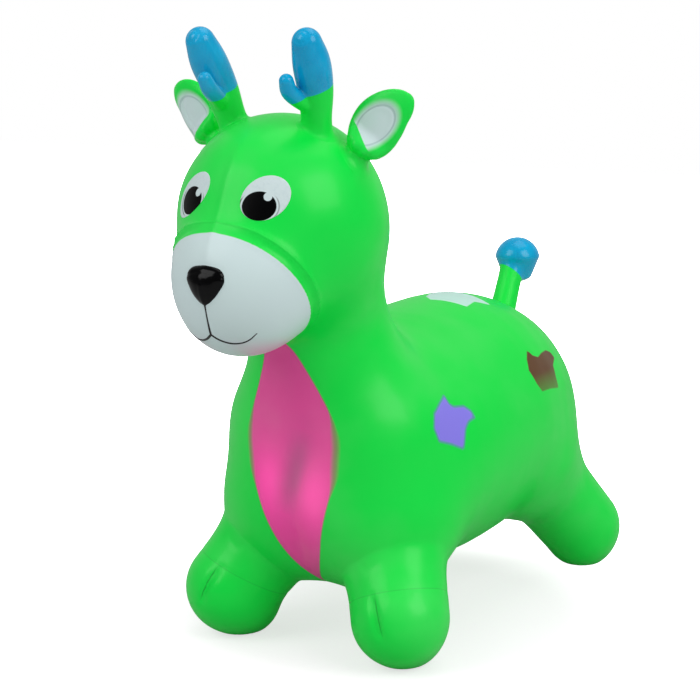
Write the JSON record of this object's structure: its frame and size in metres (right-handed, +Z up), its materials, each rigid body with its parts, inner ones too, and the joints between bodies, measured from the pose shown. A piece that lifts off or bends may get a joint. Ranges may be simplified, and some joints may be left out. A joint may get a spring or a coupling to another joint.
{
  "type": "bouncy animal hopper",
  "caption": "Inflatable deer-shaped bouncing ride-on toy with a seat-height barrel body, stubby legs, flexing head, antlers, ears and tail, and an air plug under the belly.",
  "frame": {"origin": "middle of the footprint at floor level, centred on the overall box", "axes": "+Z up, the animal faces -Y, its left side is +X"},
  "size_m": [0.2674, 0.5939, 0.5593],
  "materials": {
    "green_skin": "semi-gloss soft PVC, moulded in green",
    "white_coat": "satin white coat over the skin",
    "black_coat": "glossy black coat over the skin",
    "blue_coat": "glossy blue coat over the skin",
    "plug_white": "milky soft PVC"
  },
  "bodies": {
    "trunk": {"trunk": "green_skin", "front_left_leg": "green_skin", "front_right_leg": "green_skin", "rear_left_leg": "green_skin", "rear_right_leg": "green_skin", "valve_seat": "green_skin"},
    "head": {"neck": "green_skin", "head": "green_skin", "muzzle": "white_coat", "nose": "black_coat"},
    "left_ear": {"left_ear": "green_skin"},
    "right_ear": {"right_ear": "green_skin"},
    "left_antler": {"left_antler": "blue_coat"},
    "right_antler": {"right_antler": "blue_coat"},
    "tail": {"tail": "blue_coat"},
    "valve_plug": {"valve_plug": "plug_white"}
  },
  "joints": [
    {"name": "head_nod", "type": "hinge", "parent": "trunk", "child": "head", "pos_m": [0, -0.096, 0.232], "axis": [1, 0, 0], "range_deg": [-8, 8], "stiffness_Nm_per_rad": 12},
    {"name": "left_ear_flex", "type": "hinge", "parent": "head", "child": "left_ear", "pos_m": [0.06947, -0.17142, 0.45299], "axis": [0.7613, 0.2474, -0.5993], "range_deg": [-25, 25], "stiffness_Nm_per_rad": 0.1},
    {"name": "right_ear_flex", "type": "hinge", "parent": "head", "child": "right_ear", "pos_m": [-0.06947, -0.17142, 0.45299], "axis": [0.7613, -0.2474, 0.5993], "range_deg": [-25, 25], "stiffness_Nm_per_rad": 0.1},
    {"name": "left_antler_flex", "type": "hinge", "parent": "head", "child": "left_antler", "pos_m": [0.04124, -0.18933, 0.4759], "axis": [1, 0, 0], "range_deg": [-15, 15], "stiffness_Nm_per_rad": 0.2},
    {"name": "right_antler_flex", "type": "hinge", "parent": "head", "child": "right_antler", "pos_m": [-0.04124, -0.18933, 0.4759], "axis": [1, 0, 0], "range_deg": [-15, 15], "stiffness_Nm_per_rad": 0.2},
    {"name": "tail_wag", "type": "hinge", "parent": "trunk", "child": "tail", "pos_m": [0, 0.2334, 0.24898], "axis": [0, 0.848, -0.5299], "range_deg": [-25, 25], "stiffness_Nm_per_rad": 0.3},
    {"name": "valve_plug_pull", "type": "slide", "parent": "trunk", "child": "valve_plug", "axis": [0, 0, -1], "range_m": [0, 0.03]}
  ]
}
